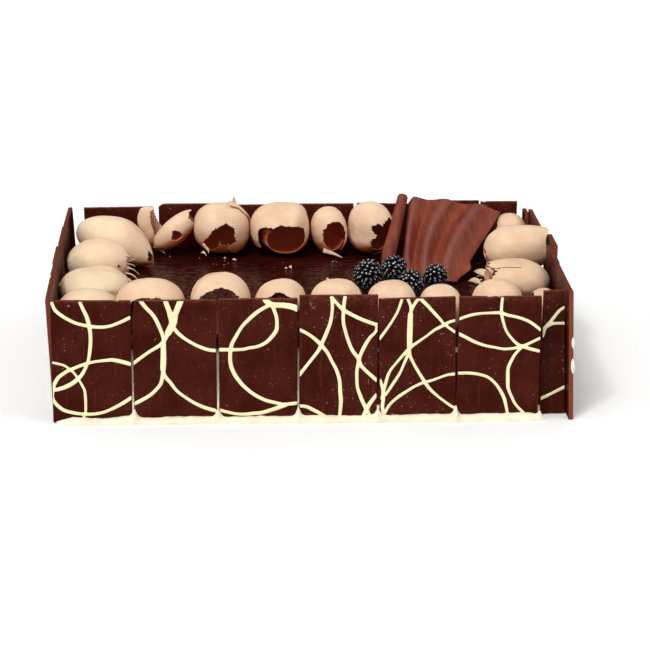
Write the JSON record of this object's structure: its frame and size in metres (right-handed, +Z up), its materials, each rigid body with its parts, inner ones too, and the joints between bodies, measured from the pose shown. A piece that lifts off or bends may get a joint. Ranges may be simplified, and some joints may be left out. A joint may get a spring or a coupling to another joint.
{
  "type": "chocolate cake",
  "caption": "Rectangular chocolate cake fenced by thin looped chocolate panels, with rolled curls all round a dark glaze, a pleated chocolate fan and berries.",
  "frame": {"origin": "middle of the underside, on the surface that the cake stands on", "axes": "+X along the long side, +Y from the front row of panels to the back row, +Z up"},
  "size_m": [0.3404, 0.2378, 0.09],
  "materials": {
    "dark_chocolate": "semi-gloss moulded dark chocolate",
    "cream": "soft matte whipped cream",
    "glaze": "glossy poured dark glaze",
    "caramel_chocolate": "satin shaved caramel-coloured chocolate",
    "milk_chocolate": "satin milk chocolate",
    "white_chocolate": "satin white chocolate lines",
    "dark_fruit": "glossy dark berry"
  },
  "bodies": {
    "root": {"berry_1": "dark_fruit", "berry_2": "dark_fruit", "berry_3": "dark_fruit", "berry_4": "dark_fruit", "cake_body": "cream", "cream_bead_back": "cream", "cream_bead_front": "cream", "curl_back_1": "caramel_chocolate", "curl_back_2": "caramel_chocolate", "curl_back_3": "caramel_chocolate", "curl_back_4": "caramel_chocolate", "curl_back_5": "caramel_chocolate", "curl_back_6": "caramel_chocolate", "curl_front_1": "caramel_chocolate", "curl_front_2": "caramel_chocolate", "curl_front_3": "caramel_chocolate", "curl_front_4": "caramel_chocolate", "curl_front_5": "caramel_chocolate", "curl_front_6": "caramel_chocolate", "curl_front_7": "caramel_chocolate", "curl_left_1": "caramel_chocolate", "curl_left_2": "caramel_chocolate", "curl_left_3": "caramel_chocolate", "curl_left_4": "caramel_chocolate", "curl_right_1": "caramel_chocolate", "curl_right_2": "caramel_chocolate", "curl_right_3": "caramel_chocolate", "curl_right_4": "caramel_chocolate", "fan_roll": "milk_chocolate", "fan_sheet": "milk_chocolate", "glaze": "glaze", "panel_back_1": "dark_chocolate", "panel_back_2": "dark_chocolate", "panel_back_3": "dark_chocolate", "panel_back_4": "dark_chocolate", "panel_back_5": "dark_chocolate", "panel_back_6": "dark_chocolate", "panel_back_7": "dark_chocolate", "panel_front_1": "dark_chocolate", "panel_front_2": "dark_chocolate", "panel_front_3": "dark_chocolate", "panel_front_4": "dark_chocolate", "panel_front_5": "dark_chocolate", "panel_front_6": "dark_chocolate", "panel_front_7": "dark_chocolate", "panel_left_1": "dark_chocolate", "panel_left_2": "dark_chocolate", "panel_left_3": "dark_chocolate", "panel_left_4": "dark_chocolate", "panel_left_5": "dark_chocolate", "panel_right_1": "dark_chocolate", "panel_right_2": "dark_chocolate", "panel_right_3": "dark_chocolate", "panel_right_4": "dark_chocolate", "panel_right_5": "dark_chocolate", "panel_right_6": "dark_chocolate"}
  },
  "joints": []
}
